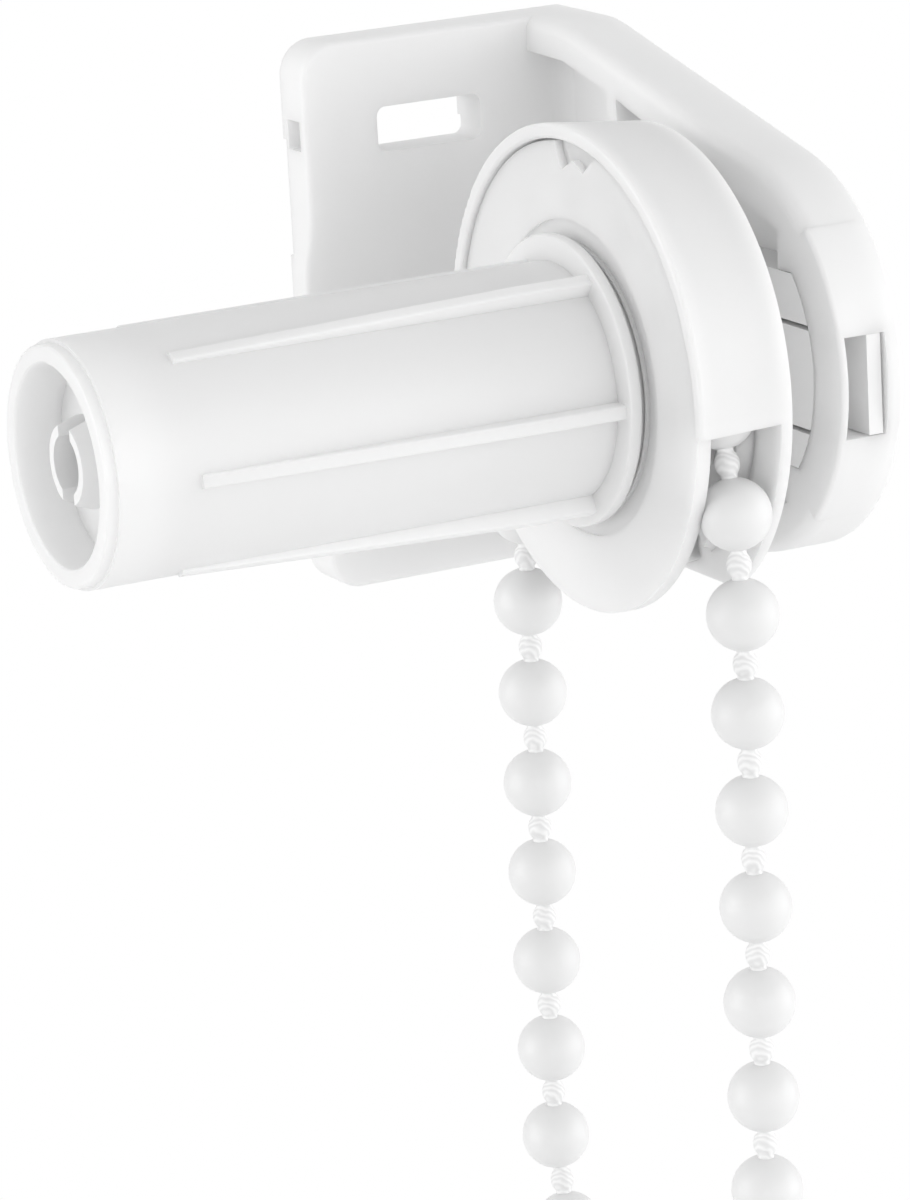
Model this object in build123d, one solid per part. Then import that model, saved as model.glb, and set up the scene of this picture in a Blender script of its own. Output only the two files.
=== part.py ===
"""Chain-driven roller blind bracket: an L-shaped moulded wall bracket that holds a bead-chain clutch.

Frame: the clutch axis is X. The tube spigot points to -X and the bracket's arm stands at +X.
+Y runs to the wall and +Z is up. The origin is on the axis, at the front face of the wheel's flange.
All sizes are in millimetres.
"""

from build123d import *
import os
from math import acos, asin, atan2, cos, degrees, pi, radians, sin, sqrt, tan

# bead chain
CHAIN_PITCH = 6.0
BEAD_DIAMETER = 4.35
CORD_DIAMETER = 1.0
SLEEVE_DIAMETER = 1.5
SLEEVE_LENGTH = 1.35
STRAIGHT_BEAD_COUNT = 9
BEND_PITCHES = 7
CHAIN_PHASE = 2.5

# chain wheel
POCKET_COUNT = 12
POCKET_CLEARANCE = 0.12
WHEEL_RADIUS = 12.1
WHEEL_WIDTH = 4.3
CORD_GROOVE_WIDTH = 1.9
CORD_GROOVE_DEPTH = 1.7
FLANGE_RADIUS = 14.3
FLANGE_THICKNESS = 0.9
NOTCH_DEPTH = 1.7
NOTCH_FLOOR = 0.5
FLANGE_GROOVE = (8.4, 9.6)
FLANGE_GROOVE_DEPTH = 0.25
DRIVER_WALL = 0.95
DRIVER_FIT = 0.15
DRIVER_LENGTH = 24.0
DRIVER_GAP_ANGLE = 76.0
DRIVER_GAP_AT = 90.0

# chain guard
GUARD_RIM = 0.95
GUARD_CLEARANCE = 0.15
GUARD_BEAD_CLEARANCE = 0.3
GUARD_DRAFT = 0.7
GUARD_LIP = 0.35
GUARD_BACK_THICKNESS = 0.8
GUARD_CUT_DROP = 1.0
GUARD_EDGE_RADIUS = 0.22
GUARD_FLAT = 12.1
SIDE_CLEARANCE = 0.15

# fixed core
CORE_RADIUS = 3.25
HUB_RADIUS = 4.1
RUNNING_CLEARANCE = 0.05
STUB_RADIUS = 5.8
CORE_BORE_RADIUS = 1.75
CORE_BORE_DEPTH = 14.0
FINGER_RADIUS = 2.25
FINGER_SLIT = 1.6
BARB_RADIUS = 2.75
BARB_LENGTH = 2.3

# tube spigot
SPIGOT_LENGTH = 34.0
SPIGOT_RADIUS = 7.3
SPIGOT_WALL = 1.35
SPIGOT_LIP_STEP = 0.22
SPIGOT_LIP_LENGTH = 0.7
MOUTH_DEPTH = 3.0
END_WALL = 1.3
COLLAR_RADIUS = 8.85
COLLAR_THICKNESS = 0.8
NECK_DEPTH = 0.65
NECK_WIDTH = 0.5
RIB_COUNT = 6
RIB_AT = -3.0
RIB_WIDTH = 0.85
RIB_START_HEIGHT = 0.22
RIB_HEIGHT = 1.05
RIB_START = 28.2
RIB_LEVEL = 6.0
SEAM_RIB = 2
SEAM_RIB_HEIGHT = 0.3
RIB_EDGE_RADIUS = 0.15
SPIGOT_EDGE_RADIUS = 0.15
KEY_WIDTH = 1.7

# wrap springs
WIRE_DIAMETER = 0.75
SPRING_PITCH = 0.86
SPRING_TURNS = 6
SPRING_STARTS = (3.2, 12.2)
TANG_ANGLE = 20.0

# wall bracket
WALL_Y = 27.8
PLATE_THICKNESS = 3.2
PLATE_WAIST_THICKNESS = 1.95
PLATE_HALF_HEIGHT = 17.7
PLATE_LEFT = -5.2
PLATE_CORNER_RADIUS = 2.2
PLATE_EDGE_RADIUS = 0.35
WAIST_HALF_HEIGHT = 1.6
PAD_END = 7.4
PLATE_ROOT_RADIUS = 1.2
RELIEF_DEPTH = 0.4
RELIEF_FROM = 4.0
RELIEF_TO = 11.5
WEB_OUTER = 15.3
WEB_THICKNESS = 1.6
RIM_FRONT = 10.9
RIM_WALL = 2.15
RIM_END_WALL = 3.0
ARM_END_RADIUS = 12.5
ARM_SHOULDER = 7.6
ARM_BEND_RADIUS = 10.0
ARM_EDGE_RADIUS = 0.35
ARM_FRONT_RADIUS = 0.9
END_PAD_HEIGHT = 0.1
END_PAD_ANGLE = 45.0
END_PAD_WIDTH = 3.6
END_PAD_EDGE = 0.25
SLOT_LENGTH = 7.4
SLOT_HEIGHT = 2.9
SLOT_LEFT = -0.1
SLOT_CENTRE_Z = 11.8
SLOT_CORNER = 0.6
EDGE_POCKET = (1.0, 1.7, 1.9)
EDGE_POCKET_Z = 11.9
CROSS_RIB_Y = 13.2
CROSS_RIB_WALL = 1.3
POCKET_RADIUS = 9.4
POCKET_HALF_HEIGHT = 6.0
POCKET_SHOULDER = 5.7
FIT = 0.06
WINDOW_HALF_HEIGHT = 3.1
WINDOW_WIDTH = 2.4
WINDOW_BITE = 0.35
LATCH_CENTRE_Z = -0.3
LATCH_SLIT = 0.3
LATCH_SLIT_LENGTH = 5.6
LATCH_TIP = 0.7
LATCH_HOOK = 0.25
LATCH_REACH = 12.1
TAB_HALF_HEIGHT = 2.9

# places that follow from the sizes above
CHAIN_RADIUS = CHAIN_PITCH / 2 / sin(pi / POCKET_COUNT)
BEND_RADIUS = CHAIN_PITCH / 2 / sin(pi / 2 / BEND_PITCHES)
BEAD_RADIUS = BEAD_DIAMETER / 2
WHEEL_BACK = FLANGE_THICKNESS + WHEEL_WIDTH
CHAIN_X = FLANGE_THICKNESS + WHEEL_WIDTH / 2
GUARD_COUNTERBORE = FLANGE_RADIUS + GUARD_CLEARANCE
GUARD_INNER = CHAIN_RADIUS + BEAD_RADIUS + GUARD_BEAD_CLEARANCE
GUARD_OUTER = GUARD_COUNTERBORE + GUARD_RIM
GUARD_BACK_INNER = WHEEL_BACK + SIDE_CLEARANCE
GUARD_BACK = GUARD_BACK_INNER + GUARD_BACK_THICKNESS
SPIGOT_BORE = SPIGOT_RADIUS - SPIGOT_WALL
END_WALL_FRONT = -SPIGOT_LENGTH + MOUTH_DEPTH
END_WALL_BACK = END_WALL_FRONT + END_WALL
DRIVER_OUTER = SPIGOT_BORE - DRIVER_FIT
COLLAR_FRONT = -NECK_WIDTH - COLLAR_THICKNESS
PLATE_FRONT = WALL_Y - PLATE_THICKNESS
WEB_INNER = WEB_OUTER - WEB_THICKNESS
MOUNT_BACK = WEB_INNER - FIT
SHOULDER_Y = WALL_Y - ARM_SHOULDER
ARM_SLOPE = acos(ARM_END_RADIUS / sqrt(PLATE_HALF_HEIGHT**2 + SHOULDER_Y**2)) - atan2(SHOULDER_Y, PLATE_HALF_HEIGHT)
END_START = (-ARM_END_RADIUS * sin(ARM_SLOPE), ARM_END_RADIUS * cos(ARM_SLOPE))


def turned(points):
    """A solid of revolution about the clutch axis, from its half section of (x, radius) points."""
    return revolve(make_face(Polyline(*points, close=True)), Axis.X)


def ring(x0, x1, inner, outer):
    """A plain sleeve about the clutch axis."""
    return turned([(x0, inner), (x1, inner), (x1, outer), (x0, outer)])


def across(outline, x0, x1):
    """A flat outline drawn in (y, z), raised from x0 to x1."""
    return extrude(Plane.YZ.offset(x0) * outline, x1 - x0)


def block(x0, x1, y0, y1, z0, z1):
    """A box between three pairs of faces."""
    return Pos((x0 + x1) / 2, (y0 + y1) / 2, (z0 + z1) / 2) * Box(x1 - x0, y1 - y0, z1 - z0)


def arm_outline():
    """The arm seen along the axis: square at the wall, then sloping evenly to a round end."""
    top = Polyline((WALL_Y, 0), (WALL_Y, PLATE_HALF_HEIGHT), (SHOULDER_Y, PLATE_HALF_HEIGHT), END_START)
    end = ThreePointArc(END_START, (-ARM_END_RADIUS, 0), (END_START[0], -END_START[1]))
    low = Polyline(
        (END_START[0], -END_START[1]), (SHOULDER_Y, -PLATE_HALF_HEIGHT), (WALL_Y, -PLATE_HALF_HEIGHT), (WALL_Y, 0)
    )
    return make_face([top, end, low])


def tray_outline(y0, y1, wall):
    """The space inside the arm's rim between two places on the way to the wall, with the rim's wall at the first."""

    def height(y, thickness):
        sloped = END_START[1] + (y - END_START[0]) * tan(ARM_SLOPE) - thickness / cos(ARM_SLOPE)
        return min(sloped, PLATE_HALF_HEIGHT - thickness)

    bend = SHOULDER_Y - (RIM_WALL / cos(ARM_SLOPE) - RIM_WALL) / tan(ARM_SLOPE)
    ys = [y for y in (bend,) if y0 < y < y1] + [y1]
    upper = [(y0, height(y0, wall))] + [(y, height(y, RIM_WALL)) for y in ys]
    lower = [(y, -z) for y, z in reversed(upper)]
    return make_face(Polyline(*upper, *lower, close=True))


def end_pad():
    """The thin raised band round the arm's end, with a crisp step at its top and bottom."""
    outer = ARM_END_RADIUS + END_PAD_HEIGHT
    band = ring(RIM_FRONT, RIM_FRONT + END_PAD_WIDTH, ARM_END_RADIUS - 1.2, outer)
    edge = band.edges().filter_by(GeomType.CIRCLE).filter_by(
        lambda e: e.center().X < RIM_FRONT + 0.01 and e.radius > ARM_END_RADIUS
    )
    band = fillet(edge, END_PAD_EDGE)
    half = radians(END_PAD_ANGLE)
    reach = 2 * outer
    wedge = Polyline((0, 0), (-reach * cos(half), reach * sin(half)), (-reach * cos(half), -reach * sin(half)),
                     close=True)
    return band & across(make_face(wedge), RIM_FRONT - 1, WEB_OUTER + 1)


def wall_bracket():
    """The bracket: a wall plate with two screw slots and a tray-shaped arm whose round end takes the clutch."""
    arm = across(arm_outline(), RIM_FRONT, WEB_OUTER)
    shoulders = arm.edges().filter_by(Axis.X).filter_by(
        lambda edge: abs(edge.center().Y - SHOULDER_Y) < 0.01
    )
    arm = fillet(shoulders, ARM_BEND_RADIUS)
    for end, radius in ((-1, ARM_EDGE_RADIUS), (0, ARM_FRONT_RADIUS)):
        outer_rim = arm.faces().sort_by(Axis.X)[end].edges().filter_by(
            lambda edge: edge.center().Y < WALL_Y - 0.01
        )
        arm = fillet(outer_rim, radius)

    waist_front = WALL_Y - PLATE_WAIST_THICKNESS
    middle = ((PLATE_FRONT + waist_front) / 2, (PAD_END + WAIST_HALF_HEIGHT) / 2)
    upper_half = [
        Polyline((WALL_Y, 0), (WALL_Y, PLATE_HALF_HEIGHT), (PLATE_FRONT, PLATE_HALF_HEIGHT), (PLATE_FRONT, PAD_END)),
        TangentArc((PLATE_FRONT, PAD_END), middle, tangent=(0, -1)),
        TangentArc((waist_front, WAIST_HALF_HEIGHT), middle, tangent=(0, 1)),
        Polyline((waist_front, WAIST_HALF_HEIGHT), (waist_front, 0), (WALL_Y, 0)),
    ]
    half_plate = across(make_face(upper_half), PLATE_LEFT, WEB_INNER)
    half_plate -= block(
        PLATE_LEFT - 1, WEB_INNER, WALL_Y - RELIEF_DEPTH, WALL_Y + 1, RELIEF_FROM, RELIEF_TO
    )
    plate = half_plate + mirror(half_plate, Plane.XY)
    corners = plate.faces().sort_by(Axis.X)[0].edges().filter_by(Axis.Y)
    corners = [edge for edge in corners if abs(abs(edge.center().Z) - PLATE_HALF_HEIGHT) < 0.01]
    plate = fillet(corners, PLATE_CORNER_RADIUS)
    plate_side = plate.faces().filter_by(Axis.X).sort_by(Axis.X)[0]
    front = plate_side.edges().filter_by(Axis.Y, reverse=True)
    front = front.filter_by(lambda edge: edge.center().Y < WALL_Y - PLATE_WAIST_THICKNESS / 2)
    front = front.filter_by(lambda edge: abs(edge.center().Z) < PLATE_HALF_HEIGHT - 0.01)
    plate = fillet(front, PLATE_EDGE_RADIUS)
    bracket = arm + plate + end_pad()

    rear_outline = tray_outline(CROSS_RIB_Y + CROSS_RIB_WALL, PLATE_FRONT, RIM_WALL)
    rear_tray = across(rear_outline, RIM_FRONT - 1, WEB_INNER)
    root = rear_tray.edges().filter_by(Axis.Z).group_by(Axis.Y)[-1].sort_by(Axis.X)[-1]
    bracket -= fillet(root, PLATE_ROOT_RADIUS)
    front_tray = tray_outline(-POCKET_SHOULDER, CROSS_RIB_Y, RIM_END_WALL)
    bracket -= across(front_tray, RIM_FRONT - 1, WEB_INNER)
    round_pocket = Circle(POCKET_RADIUS) & Rectangle(2 * POCKET_RADIUS, 2 * POCKET_HALF_HEIGHT)
    bracket -= across(round_pocket, RIM_FRONT - 1, WEB_INNER)

    reach = POCKET_RADIUS - 1
    low, high = LATCH_CENTRE_Z - WINDOW_HALF_HEIGHT, LATCH_CENTRE_Z + WINDOW_HALF_HEIGHT
    bracket -= block(WEB_INNER - WINDOW_WIDTH, WEB_INNER + WINDOW_BITE, -ARM_END_RADIUS - 1, -reach, low, high)
    notch = TAB_HALF_HEIGHT + FIT
    bracket -= block(
        RIM_FRONT - 1, WEB_INNER, CROSS_RIB_Y - 1, CROSS_RIB_Y + CROSS_RIB_WALL + 1, -notch, notch
    )

    slot = Plane.XZ * RectangleRounded(SLOT_LENGTH, SLOT_HEIGHT, SLOT_CORNER)
    slot = extrude(slot, PLATE_THICKNESS + 2, both=True)
    for side in (1, -1):
        bracket -= Pos(SLOT_LEFT + SLOT_LENGTH / 2, WALL_Y, side * SLOT_CENTRE_Z) * slot
        depth, width, height = EDGE_POCKET
        pocket_y = PLATE_FRONT + PLATE_THICKNESS / 2
        bracket -= Pos(PLATE_LEFT, pocket_y, side * EDGE_POCKET_Z) * Box(2 * depth, width, height)
    return bracket


def chain_guard():
    """The guard: a shroud over the top half of the wheel, moulded with the disc behind the wheel."""
    shroud = turned(
        [
            (-GUARD_LIP, GUARD_OUTER),
            (-GUARD_LIP, GUARD_COUNTERBORE),
            (FLANGE_THICKNESS + GUARD_CLEARANCE, GUARD_COUNTERBORE),
            (FLANGE_THICKNESS + GUARD_CLEARANCE, GUARD_INNER),
            (GUARD_BACK_INNER, GUARD_INNER),
            (GUARD_BACK, GUARD_INNER - GUARD_BACK_THICKNESS),
            (GUARD_BACK, GUARD_OUTER - GUARD_DRAFT),
        ]
    )
    mouth = shroud.edges().filter_by(GeomType.CIRCLE).filter_by(lambda edge: edge.center().X < -GUARD_LIP + 0.01)
    shroud = fillet(mouth, GUARD_EDGE_RADIUS)
    low = GUARD_OUTER + 1
    shroud -= block(-1, GUARD_BACK_INNER, -low, low, -low, -GUARD_CUT_DROP)
    disc = ring(GUARD_BACK_INNER, GUARD_BACK, HUB_RADIUS, GUARD_OUTER - GUARD_DRAFT)
    guard = shroud + disc
    return guard - block(-1, GUARD_BACK + 1, -low, low, -low, -GUARD_FLAT)


def mount_plate():
    """The plate of the core that clips into the arm, with a latch tongue between two slits."""
    front = POCKET_RADIUS - FIT
    half = POCKET_HALF_HEIGHT - FIT
    rear = CROSS_RIB_Y - FIT
    outline = Circle(front) & Pos(-front, 0) * Rectangle(2 * front, 2 * half)
    outline += Pos(rear / 2, 0) * Rectangle(rear, 2 * half)
    tab = CROSS_RIB_WALL + FIT
    outline += Pos(rear + tab / 2, 0) * Rectangle(tab, 2 * TAB_HALF_HEIGHT)
    plate = across(outline, RIM_FRONT, MOUNT_BACK)
    tongue = WINDOW_HALF_HEIGHT - FIT
    for side in (1, -1):
        z = LATCH_CENTRE_Z + side * (tongue + LATCH_SLIT / 2)
        slit_end = -front + LATCH_SLIT_LENGTH
        plate -= block(
            RIM_FRONT - 1, MOUNT_BACK + 1, -front - 1, slit_end, z - LATCH_SLIT / 2, z + LATCH_SLIT / 2
        )
    low, high = LATCH_CENTRE_Z - tongue, LATCH_CENTRE_Z + tongue
    tip = block(MOUNT_BACK - LATCH_TIP, MOUNT_BACK + LATCH_HOOK, -LATCH_REACH, -front + 0.8, low, high)
    return plate + tip


def fixed_core():
    """The core that never turns: mount plate, stub, bearing hub and long shaft, split at its end to snap."""
    finger_root = END_WALL_BACK + 0.6
    barb = END_WALL_FRONT - RUNNING_CLEARANCE
    shaft = turned(
        [
            (RIM_FRONT, 0),
            (RIM_FRONT, STUB_RADIUS),
            (GUARD_BACK, STUB_RADIUS),
            (GUARD_BACK, HUB_RADIUS),
            (0, HUB_RADIUS),
            (-0.4, CORE_RADIUS),
            (finger_root, CORE_RADIUS),
            (finger_root, FINGER_RADIUS),
            (barb, FINGER_RADIUS),
            (barb, BARB_RADIUS),
            (barb - BARB_LENGTH / 2, BARB_RADIUS),
            (barb - BARB_LENGTH, FINGER_RADIUS + 0.1),
            (barb - BARB_LENGTH, 0),
        ]
    )
    end = barb - BARB_LENGTH
    shaft -= ring(end - 1, end + CORE_BORE_DEPTH, 0, CORE_BORE_RADIUS)
    half = FINGER_SLIT / 2
    shaft -= block(end - 1, end + CORE_BORE_DEPTH - 2, -half, half, -CORE_RADIUS - 1, CORE_RADIUS + 1)
    return shaft + mount_plate()


def flange_notch():
    """The saw-edged notch in the wheel's flange, just under the guard's rim."""
    edge = FLANGE_RADIUS
    teeth = [(0.7, 0.35), (0.35, 1.0), (-0.45, 0.6), (-1.2, 0.95), (-1.75, 0.5), (-2.45, 0.3)]
    sawn = [(NOTCH_DEPTH * y, edge - NOTCH_DEPTH * share) for y, share in teeth]
    ends = [(NOTCH_DEPTH * -2.6, edge + 1), (NOTCH_DEPTH * 0.8, edge + 1)]
    return across(make_face(Polyline(*sawn, *ends, close=True)), -1, NOTCH_FLOOR)


def chain_wheel():
    """The chain wheel: a flange, twelve bead pockets and the split sleeve that drives the springs."""
    bore = HUB_RADIUS + RUNNING_CLEARANCE
    wheel = turned(
        [
            (0, bore),
            (0, FLANGE_RADIUS),
            (FLANGE_THICKNESS, FLANGE_RADIUS),
            (FLANGE_THICKNESS, WHEEL_RADIUS),
            (WHEEL_BACK, WHEEL_RADIUS),
            (WHEEL_BACK, bore),
        ]
    )
    wheel -= ring(-1, FLANGE_GROOVE_DEPTH, *FLANGE_GROOVE)
    sleeve = ring(-DRIVER_LENGTH, FLANGE_THICKNESS / 2, DRIVER_OUTER - DRIVER_WALL, DRIVER_OUTER)
    wheel += sleeve - sector(-DRIVER_LENGTH - 1, 0, DRIVER_GAP_ANGLE)
    groove = CORD_GROOVE_WIDTH / 2
    wheel -= ring(CHAIN_X - groove, CHAIN_X + groove, CHAIN_RADIUS - CORD_GROOVE_DEPTH, WHEEL_RADIUS + 1)
    pocket = Pos(CHAIN_X, -CHAIN_RADIUS, 0) * Sphere(BEAD_RADIUS + POCKET_CLEARANCE)
    for index in range(POCKET_COUNT):
        wheel -= Rot(-(index * 360 / POCKET_COUNT - CHAIN_PHASE), 0, 0) * pocket
    return wheel - flange_notch()


def sector(x0, x1, angle):
    """A wedge about the clutch axis, centred on the driver's gap."""
    reach = 2 * DRIVER_OUTER
    half = radians(angle / 2)
    wedge = Polyline((0, 0), (-reach * cos(half), reach * sin(half)), (-reach * cos(half), -reach * sin(half)),
                     close=True)
    return Rot(-DRIVER_GAP_AT, 0, 0) * across(make_face(wedge), x0, x1)


def spigot_rib(height):
    """One axial rib of the spigot, rising from its blunt start to the collar, on the side towards the room."""
    root = SPIGOT_RADIUS - SPIGOT_WALL / 2
    start = min(RIB_START_HEIGHT, height)
    side = make_face(
        Polyline(
            (-RIB_START, root),
            (-RIB_START, SPIGOT_RADIUS + start),
            (-RIB_LEVEL, SPIGOT_RADIUS + height),
            (COLLAR_FRONT + COLLAR_THICKNESS / 2, SPIGOT_RADIUS + height),
            (COLLAR_FRONT + COLLAR_THICKNESS / 2, root),
            close=True,
        )
    )
    rib = extrude(side, RIB_WIDTH / 2, both=True)
    crest = rib.edges().filter_by(lambda edge: edge.center().Y > SPIGOT_RADIUS + RIB_EDGE_RADIUS)
    crest = crest.filter_by(lambda edge: abs(edge.center().Z) > RIB_WIDTH / 2 - 0.01)
    if height > SEAM_RIB_HEIGHT:
        rib = fillet(crest.filter_by(lambda edge: edge.length > 1), RIB_EDGE_RADIUS)
    return Rot(180, 0, 0) * rib


def tube_spigot():
    """The spigot that carries the roller tube: ribs outside, a key for the springs and an end wall inside."""
    lip = SPIGOT_RADIUS - SPIGOT_LIP_STEP
    mouth = -SPIGOT_LENGTH
    bearing = FINGER_RADIUS + RUNNING_CLEARANCE
    body = turned(
        [
            (mouth, SPIGOT_BORE),
            (mouth, lip),
            (mouth + SPIGOT_LIP_LENGTH, lip),
            (mouth + SPIGOT_LIP_LENGTH, SPIGOT_RADIUS),
            (COLLAR_FRONT, SPIGOT_RADIUS),
            (COLLAR_FRONT, COLLAR_RADIUS),
            (-NECK_WIDTH, COLLAR_RADIUS),
            (-NECK_WIDTH, COLLAR_RADIUS - NECK_DEPTH),
            (0, COLLAR_RADIUS - NECK_DEPTH),
            (0, SPIGOT_BORE),
            (END_WALL_BACK, SPIGOT_BORE),
            (END_WALL_BACK, bearing),
            (END_WALL_FRONT, bearing),
            (END_WALL_FRONT, SPIGOT_BORE),
        ]
    )
    rounds = body.edges().filter_by(GeomType.CIRCLE).filter_by(
        lambda edge: edge.center().X < mouth + 0.01 or abs(edge.radius - COLLAR_RADIUS) < 0.01
    )
    body = fillet(rounds, SPIGOT_EDGE_RADIUS)
    for index in range(RIB_COUNT):
        height = SEAM_RIB_HEIGHT if index == SEAM_RIB else RIB_HEIGHT
        body += Rot(-(RIB_AT + index * 360 / RIB_COUNT), 0, 0) * spigot_rib(height)
    tip = CORE_RADIUS + WIRE_DIAMETER + 2 * RUNNING_CLEARANCE + 0.25
    half = KEY_WIDTH / 2
    key = block(END_WALL_BACK - END_WALL / 2, COLLAR_FRONT, -SPIGOT_BORE - 0.3, -tip, -half, half)
    return body + Rot(-DRIVER_GAP_AT, 0, 0) * key


def wrap_spring(start):
    """One clutch spring: close turns that grip the core, with a tang at each end beside the spigot's key."""
    wire = WIRE_DIAMETER / 2
    radius = CORE_RADIUS + RUNNING_CLEARANCE + wire
    turns = SPRING_TURNS + 1 - 2 * TANG_ANGLE / 360
    length = turns * SPRING_PITCH
    path = Helix(pitch=SPRING_PITCH, height=length, radius=radius)
    section = Plane(origin=path @ 0, z_dir=path % 0) * Circle(wire)
    coil = sweep(section, path)
    reach = DRIVER_OUTER - DRIVER_WALL / 2
    spring = coil
    for place in (path @ 0, path @ 1):
        angle = degrees(atan2(place.Y, place.X))
        tang = Pos(0, 0, place.Z) * Rot(0, 0, angle) * Pos(radius, 0, 0) * Rot(0, 90, 0) * Cylinder(
            wire, reach - radius, align=(Align.CENTER, Align.CENTER, Align.MIN)
        )
        spring += tang + Pos(place) * Sphere(wire)
    turned_flat = Rot(0, -90, 0) * spring
    return Pos(-start, 0, 0) * Rot(90 - DRIVER_GAP_AT - TANG_ANGLE, 0, 0) * turned_flat


def chain_places():
    """The bead centres of the endless chain, in order round the loop, as (y, z)."""
    first = radians(CHAIN_PHASE)
    step = 2 * pi / POCKET_COUNT
    over_wheel = [
        (-CHAIN_RADIUS * cos(k * step - first), CHAIN_RADIUS * sin(k * step - first))
        for k in range(POCKET_COUNT // 2 + 1)
    ]

    def hang(start):
        """The beads below one end of the wheel: they flare out to the width of the bend, then hang straight."""
        y, z = start
        side = 1 if y > 0 else -1
        spread = BEND_RADIUS - abs(y)
        places = []
        for share in [0.72, 0.94] + [1.0] * (STRAIGHT_BEAD_COUNT - 2):
            new_y = side * (BEND_RADIUS - spread * (1 - share))
            z -= sqrt(CHAIN_PITCH**2 - (new_y - y) ** 2)
            y = new_y
            places.append((y, z))
        return places

    front = hang(over_wheel[0])
    rear = hang(over_wheel[-1])
    middle_z = (front[-1][1] + rear[-1][1]) / 2
    lean = asin((rear[-1][1] - front[-1][1]) / 2 / BEND_RADIUS)
    bend = [
        (BEND_RADIUS * cos(lean - k * pi / BEND_PITCHES), middle_z + BEND_RADIUS * sin(lean - k * pi / BEND_PITCHES))
        for k in range(1, BEND_PITCHES)
    ]
    return over_wheel + rear + bend + front[::-1]


def link_between(start, end):
    """One pitch of the cord, from bead centre to bead centre, with the small sleeve half way."""
    a, b = Vector(CHAIN_X, *start), Vector(CHAIN_X, *end)
    along = b - a
    cord = Solid.make_cylinder(CORD_DIAMETER / 2, along.length, Plane(origin=a, z_dir=along))
    middle = (a + b) / 2
    half_length, waist = SLEEVE_LENGTH / 2, CORD_DIAMETER / 2
    bulge = SLEEVE_DIAMETER / 2
    side = make_face(
        [
            Polyline((0, -half_length), (waist, -half_length)),
            ThreePointArc((waist, -half_length), (bulge, 0), (waist, half_length)),
            Polyline((waist, half_length), (0, half_length), (0, -half_length)),
        ]
    )
    sleeve = revolve(Plane.XZ * side, Axis.Z)
    return cord + Plane(origin=middle, z_dir=along) * sleeve


def chain_parts():
    """The cord as one loop, and one bead for each place on it."""
    places = chain_places()
    links = [link_between(places[k - 1], places[k]) for k in range(len(places))]
    knots = [Pos(CHAIN_X, y, z) * Sphere(CORD_DIAMETER / 2) for y, z in places]
    cord = links[0].fuse(*links[1:], *knots)
    beads = []
    for k, (y, z) in enumerate(places):
        bead = Pos(CHAIN_X, y, z) * Sphere(BEAD_RADIUS)
        beads.append(bead - links[k] - links[(k + 1) % len(places)] - knots[k])
    return cord, beads


def all_parts():
    """Every piece of the product by name."""
    cord, beads = chain_parts()
    parts = {
        "wall_bracket": wall_bracket(),
        "chain_guard": chain_guard(),
        "fixed_core": fixed_core(),
        "chain_wheel": chain_wheel(),
        "tube_spigot": tube_spigot(),
        "chain_cord": cord,
    }
    for number, start in enumerate(SPRING_STARTS, 1):
        parts[f"wrap_spring_{number}"] = wrap_spring(start)
    for number, bead in enumerate(beads, 1):
        parts[f"chain_bead_{number:02d}"] = bead
    return parts


os.makedirs("parts", exist_ok=True)
for name, solid in all_parts().items():
    export_step(solid, f"parts/{name}.step")
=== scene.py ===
"""Roller blind bracket with its chain clutch: milky white moulded plastic in plain soft studio light."""

import math

import bpy
from mathutils import Matrix, Vector

MM = 0.001

# The room, in metres and watts.
FLOOR_SIZE = 20
FLOOR_HEIGHT = -0.5
ROOM_LIGHT = 0.6
SOFT_BOX_SIZE = 0.8
SOFT_BOXES = {
    "key": ((-0.9, 0.3, 0.12), 4.0),
    "front": ((-0.3, -0.95, 0.1), 1.7),
    "front_right": ((0.35, -0.93, 0.1), 2.0),
    "right": ((0.9, -0.4, 0.1), 3.4),
}

# The photograph's view: degrees, millimetres.
VIEW_AZIMUTH = -26.947
VIEW_ELEVATION = 15.197
VIEW_ROLL = -3.203
VIEW_PLACE = (-144.24, -266.08, 68.85)
LENS = 155.33
SENSOR_HEIGHT = 36

# Acetal's refractive index, and how far its sheen strays from one flow mark to the next, 6 mm apart.
ACETAL_IOR = 1.48
SHEEN_SPREAD = 0.06
FLOW_MARK = 6.0

# The chain's strands are 0.2 mm wide, drawn 0.5 mm apart so that they show at this size.
STRAND_SPACING = 0.5
STRAND_DEPTH = 0.008

# The marks that the die leaves along the spring wire.
WIRE_MARK = 0.4


def colour(hex_code):
    """An sRGB hex colour as linear RGBA."""
    channels = [int(hex_code[i : i + 2], 16) / 255 for i in (1, 3, 5)]
    linear = [c / 12.92 if c <= 0.04045 else ((c + 0.055) / 1.055) ** 2.4 for c in channels]
    return (*linear, 1.0)


def add_node(material, kind, settings=(), inputs=(), links=()):
    """Adds a shader node, sets its properties and input values, and links inputs to other nodes' outputs."""
    node = material.node_tree.nodes.new(kind)
    for name, value in dict(settings).items():
        setattr(node, name, value)
    for name, value in dict(inputs).items():
        node.inputs[name].default_value = value
    for name, (source, output) in dict(links).items():
        material.node_tree.links.new(source.outputs[output], node.inputs[name])
    return node


def new_material(name):
    """An empty node material."""
    material = bpy.data.materials.new(name)
    material.use_nodes = True
    material.node_tree.nodes.clear()
    return material


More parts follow.
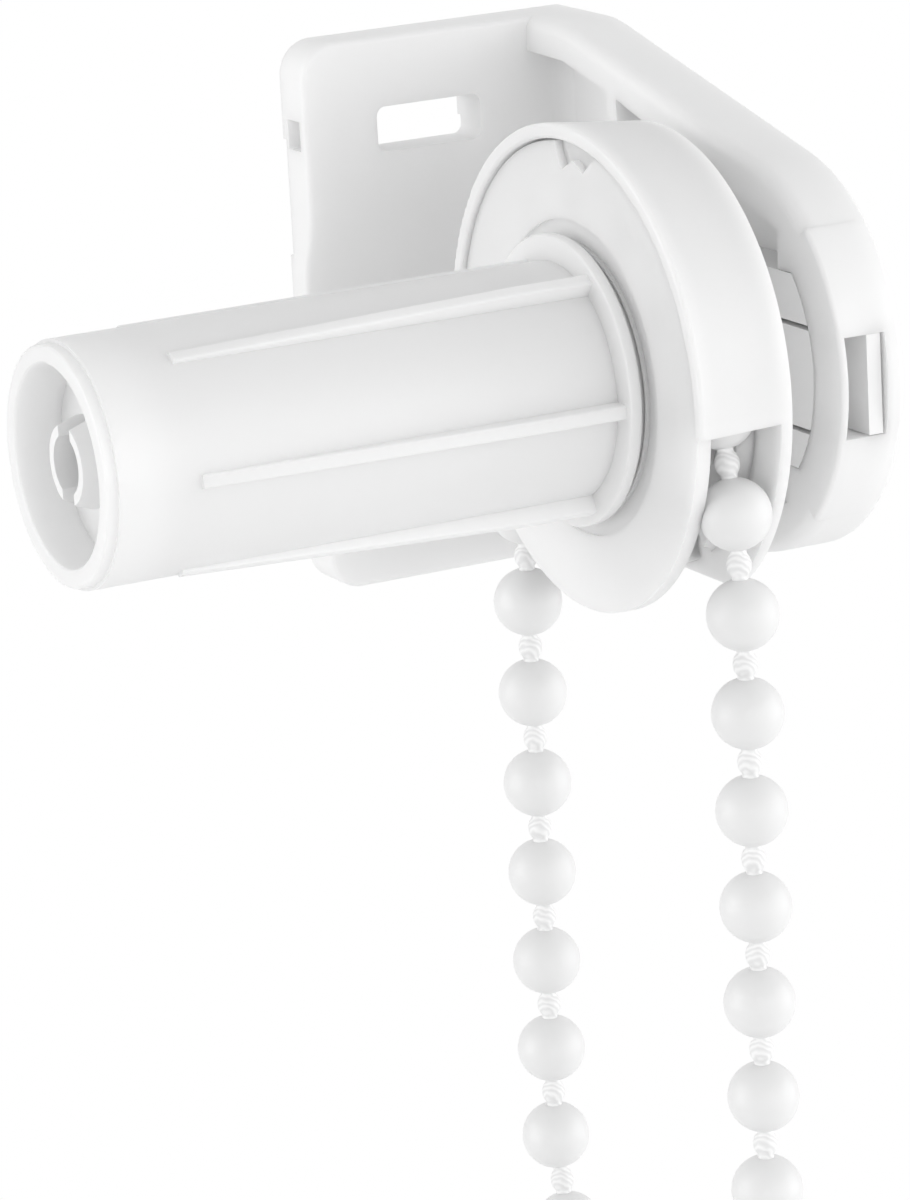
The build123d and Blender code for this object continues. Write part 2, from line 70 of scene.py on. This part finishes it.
def moulded_plastic(name, hex_code, roughness, grain, grain_depth, glow, glow_depth):
    """Injection-moulded acetal: milky white that light soaks a little way into, with a soft sheen and a
    faint grain from the mould. Lengths are in millimetres, and glow is the share of light that soaks in."""
    material = new_material(name)
    place = add_node(material, "ShaderNodeTexCoord")
    surface_grain = add_node(
        material,
        "ShaderNodeTexNoise",
        inputs={"Scale": 1 / (grain * MM), "Detail": 2.0, "Roughness": 0.6},
        links={"Vector": (place, "Object")},
    )
    bump = add_node(
        material,
        "ShaderNodeBump",
        inputs={"Strength": 1.0, "Distance": grain_depth * MM},
        links={"Height": (surface_grain, "Fac")},
    )
    flow = add_node(
        material,
        "ShaderNodeTexNoise",
        inputs={"Scale": 1 / (FLOW_MARK * MM), "Detail": 3.0, "Roughness": 0.55, "Distortion": 0.4},
        links={"Vector": (place, "Object")},
    )
    sheen = add_node(
        material,
        "ShaderNodeMapRange",
        inputs={
            "From Min": 0.3,
            "From Max": 0.7,
            "To Min": roughness - SHEEN_SPREAD,
            "To Max": roughness + SHEEN_SPREAD,
        },
        links={"Value": (flow, "Fac")},
    )
    surface = add_node(
        material,
        "ShaderNodeBsdfPrincipled",
        inputs={
            "Base Color": colour(hex_code),
            "IOR": ACETAL_IOR,
            "Subsurface Weight": glow,
            "Subsurface Radius": (1.0, 1.0, 1.0),
            "Subsurface Scale": glow_depth * MM,
        },
        links={"Normal": (bump, "Normal"), "Roughness": (sheen, "Result")},
    )
    add_node(material, "ShaderNodeOutputMaterial", links={"Surface": (surface, "BSDF")})
    return material


def braided_polyester():
    """The chain's cord and links: matt white polyester with soft furrows between its slanting strands,
    bumped and also darkened with painted shade.
    """
    material = new_material("braided_polyester")
    place = add_node(material, "ShaderNodeTexCoord")
    # A slanting band texture repeats every 2 pi / 10 of its own units.
    strands = add_node(
        material,
        "ShaderNodeTexWave",
        settings={"wave_type": "BANDS", "bands_direction": "DIAGONAL", "wave_profile": "SIN"},
        inputs={
            "Scale": 2 * math.pi / 10 / (STRAND_SPACING * MM),
            "Distortion": 4.0,
            "Detail": 1.0,
            "Detail Scale": 1.2,
        },
        links={"Vector": (place, "Object")},
    )
    bump = add_node(
        material,
        "ShaderNodeBump",
        inputs={"Strength": 1.0, "Distance": STRAND_DEPTH * MM},
        links={"Height": (strands, "Fac")},
    )
    # Painted shade: the same bands that bump the furrows also colour them darker, in place of the shade that
    # falls in them.
    furrow_painted_shade = add_node(
        material,
        "ShaderNodeMixRGB",
        inputs={"Color1": colour("#E6E6E6"), "Color2": colour("#F7F7F7")},
        links={"Fac": (strands, "Fac")},
    )
    surface = add_node(
        material,
        "ShaderNodeBsdfPrincipled",
        inputs={"Roughness": 0.7, "Sheen Weight": 0.2},
        links={"Base Color": (furrow_painted_shade, "Color"), "Normal": (bump, "Normal")},
    )
    add_node(material, "ShaderNodeOutputMaterial", links={"Surface": (surface, "BSDF")})
    return material


def spring_steel():
    """Drawn spring wire: bright, with the faint uneven sheen that the die and the oil leave."""
    material = new_material("spring_steel")
    place = add_node(material, "ShaderNodeTexCoord")
    marks = add_node(
        material,
        "ShaderNodeTexNoise",
        inputs={"Scale": 1 / (WIRE_MARK * MM), "Detail": 3.0},
        links={"Vector": (place, "Object")},
    )
    sheen = add_node(
        material,
        "ShaderNodeMapRange",
        inputs={"From Min": 0.3, "From Max": 0.7, "To Min": 0.2, "To Max": 0.4},
        links={"Value": (marks, "Fac")},
    )
    surface = add_node(
        material,
        "ShaderNodeBsdfPrincipled",
        inputs={"Base Color": colour("#B9BCC0"), "Metallic": 1.0},
        links={"Roughness": (sheen, "Result")},
    )
    add_node(material, "ShaderNodeOutputMaterial", links={"Surface": (surface, "BSDF")})
    return material


def dress_nodes():
    """Gives each CAD node the finish of the real piece. All nodes not named here are beads."""
    bracket = moulded_plastic(
        "bracket_acetal", "#F1F1F1", roughness=0.42, grain=0.35, grain_depth=0.006, glow=0.7, glow_depth=2.0
    )
    clutch = moulded_plastic(
        "clutch_acetal", "#EEEEEE", roughness=0.40, grain=0.30, grain_depth=0.004, glow=1.0, glow_depth=1.5
    )
    core = moulded_plastic(
        "core_acetal", "#F2F2F2", roughness=0.42, grain=0.30, grain_depth=0.004, glow=0.1, glow_depth=0.8
    )
    bead = moulded_plastic(
        "bead_acetal", "#E9E9E9", roughness=0.38, grain=0.60, grain_depth=0.002, glow=0.25, glow_depth=1.0
    )
    cord = braided_polyester()
    steel = spring_steel()
    finishes = {
        "wall_bracket": bracket,
        "fixed_core": core,
        "chain_guard": clutch,
        "chain_wheel": clutch,
        "tube_spigot": clutch,
        "chain_cord": cord,
        "wrap_spring_1": steel,
        "wrap_spring_2": steel,
    }
    for name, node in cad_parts.items():
        for slot in node.material_slots:
            slot.material = finishes.get(name, bead)


def white_to_the_eye(owner, lit, output_kind):
    """Plain white where the camera or a reflection shows it, and the lit shader for all else."""
    rays = add_node(owner, "ShaderNodeLightPath")
    white = add_node(owner, "ShaderNodeEmission", inputs={"Color": (1, 1, 1, 1), "Strength": 1.0})
    seen = add_node(owner, "ShaderNodeMath", settings={"operation": "MAXIMUM"})
    owner.node_tree.links.new(rays.outputs["Is Camera Ray"], seen.inputs[0])
    owner.node_tree.links.new(rays.outputs["Is Glossy Ray"], seen.inputs[1])
    mix = add_node(owner, "ShaderNodeMixShader", links={"Fac": (seen, "Value")})
    owner.node_tree.links.new(lit[0].outputs[lit[1]], mix.inputs[1])
    owner.node_tree.links.new(white.outputs["Emission"], mix.inputs[2])
    add_node(owner, output_kind, links={"Surface": (mix, "Shader")})


def studio():
    """A white floor well below the bracket, a white surround, and soft boxes that face the bracket."""
    bpy.ops.object.select_all(action="DESELECT")
    bpy.ops.mesh.primitive_plane_add(size=FLOOR_SIZE, location=(0, 0, FLOOR_HEIGHT))
    floor = bpy.context.object
    floor.name = "floor"
    paper = new_material("white_paper")
    matt = add_node(paper, "ShaderNodeBsdfDiffuse", inputs={"Color": colour("#F4F4F4")})
    white_to_the_eye(paper, (matt, "BSDF"), "ShaderNodeOutputMaterial")
    floor.data.materials.append(paper)

    world = bpy.data.worlds.new("studio")
    bpy.context.scene.world = world
    world.use_nodes = True
    world.node_tree.nodes.clear()
    sky = add_node(world, "ShaderNodeBackground", inputs={"Color": (1, 1, 1, 1), "Strength": ROOM_LIGHT})
    white_to_the_eye(world, (sky, "Background"), "ShaderNodeOutputWorld")

    for name, (place, power) in SOFT_BOXES.items():
        data = bpy.data.lights.new(name, "AREA")
        data.size = SOFT_BOX_SIZE
        data.energy = power
        box = bpy.data.objects.new(name, data)
        bpy.context.scene.collection.objects.link(box)
        facing = Vector(place).to_track_quat("Z", "Y").to_matrix().to_4x4()
        box.matrix_world = Matrix.Translation(place) @ facing


def camera():
    """A long lens at the photograph's place, leaning a little to one side."""
    azimuth = math.radians(VIEW_AZIMUTH)
    elevation = math.radians(VIEW_ELEVATION)
    roll = math.radians(VIEW_ROLL)
    level = Vector((math.cos(azimuth), math.sin(azimuth), 0))
    back = Vector(
        (
            math.sin(azimuth) * math.cos(elevation),
            -math.cos(azimuth) * math.cos(elevation),
            math.sin(elevation),
        )
    )
    upright = back.cross(level)
    right = math.cos(roll) * level + math.sin(roll) * upright
    up = back.cross(right)
    data = bpy.data.cameras.new("camera")
    data.sensor_fit = "VERTICAL"
    data.sensor_height = SENSOR_HEIGHT
    data.lens = LENS
    data.clip_start = 0.01
    data.clip_end = 50
    view = bpy.data.objects.new("camera", data)
    bpy.context.scene.collection.objects.link(view)
    turn = Matrix((right, up, back)).transposed().to_4x4()
    view.matrix_world = Matrix.Translation(Vector(VIEW_PLACE) * MM) @ turn
    bpy.context.scene.camera = view


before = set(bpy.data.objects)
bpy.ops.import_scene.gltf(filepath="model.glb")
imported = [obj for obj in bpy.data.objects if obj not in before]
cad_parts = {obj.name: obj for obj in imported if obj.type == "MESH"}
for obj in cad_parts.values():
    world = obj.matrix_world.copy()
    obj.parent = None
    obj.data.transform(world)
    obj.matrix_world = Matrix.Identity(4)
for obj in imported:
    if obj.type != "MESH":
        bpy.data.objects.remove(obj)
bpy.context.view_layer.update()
bpy.context.scene.view_settings.view_transform = "Standard"
camera()
studio()
dress_nodes()
